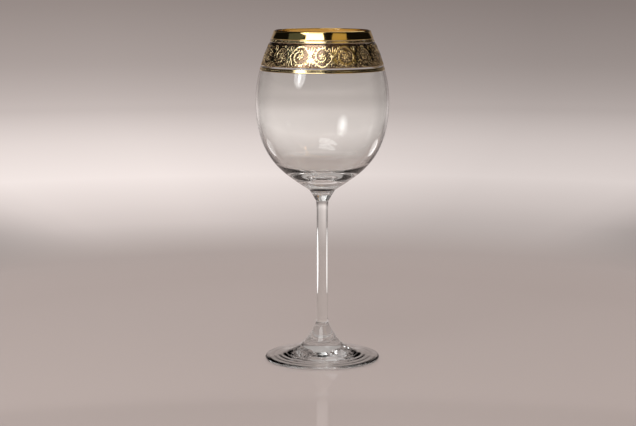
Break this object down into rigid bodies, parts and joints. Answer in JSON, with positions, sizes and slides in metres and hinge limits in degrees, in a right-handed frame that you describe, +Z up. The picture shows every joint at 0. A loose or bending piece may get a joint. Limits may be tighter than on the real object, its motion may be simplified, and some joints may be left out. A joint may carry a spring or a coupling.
{
  "type": "red wine glass",
  "caption": "Balloon-bowled red wine glass on a slender drawn stem and a flared round foot, with a burnished gold rim band over a gilt running-scroll frieze between narrow borders.",
  "frame": {"origin": "middle of the foot's standing plane, on the axis of the glass", "axes": "+Z up along the axis of the glass, from the foot to the rim; X and Y are alike but for the turn of the scroll frieze"},
  "size_m": [0.0884, 0.0884, 0.2201],
  "materials": {
    "clear_glass": "fire polished",
    "burnished_gold": "burnished",
    "relief_gold": "satin relief"
  },
  "bodies": {
    "root": {"bowl": "clear_glass", "stem": "clear_glass", "foot": "clear_glass", "rim_band": "burnished_gold", "upper_border": "relief_gold", "scroll_frieze": "relief_gold", "lower_border": "relief_gold"}
  },
  "joints": []
}
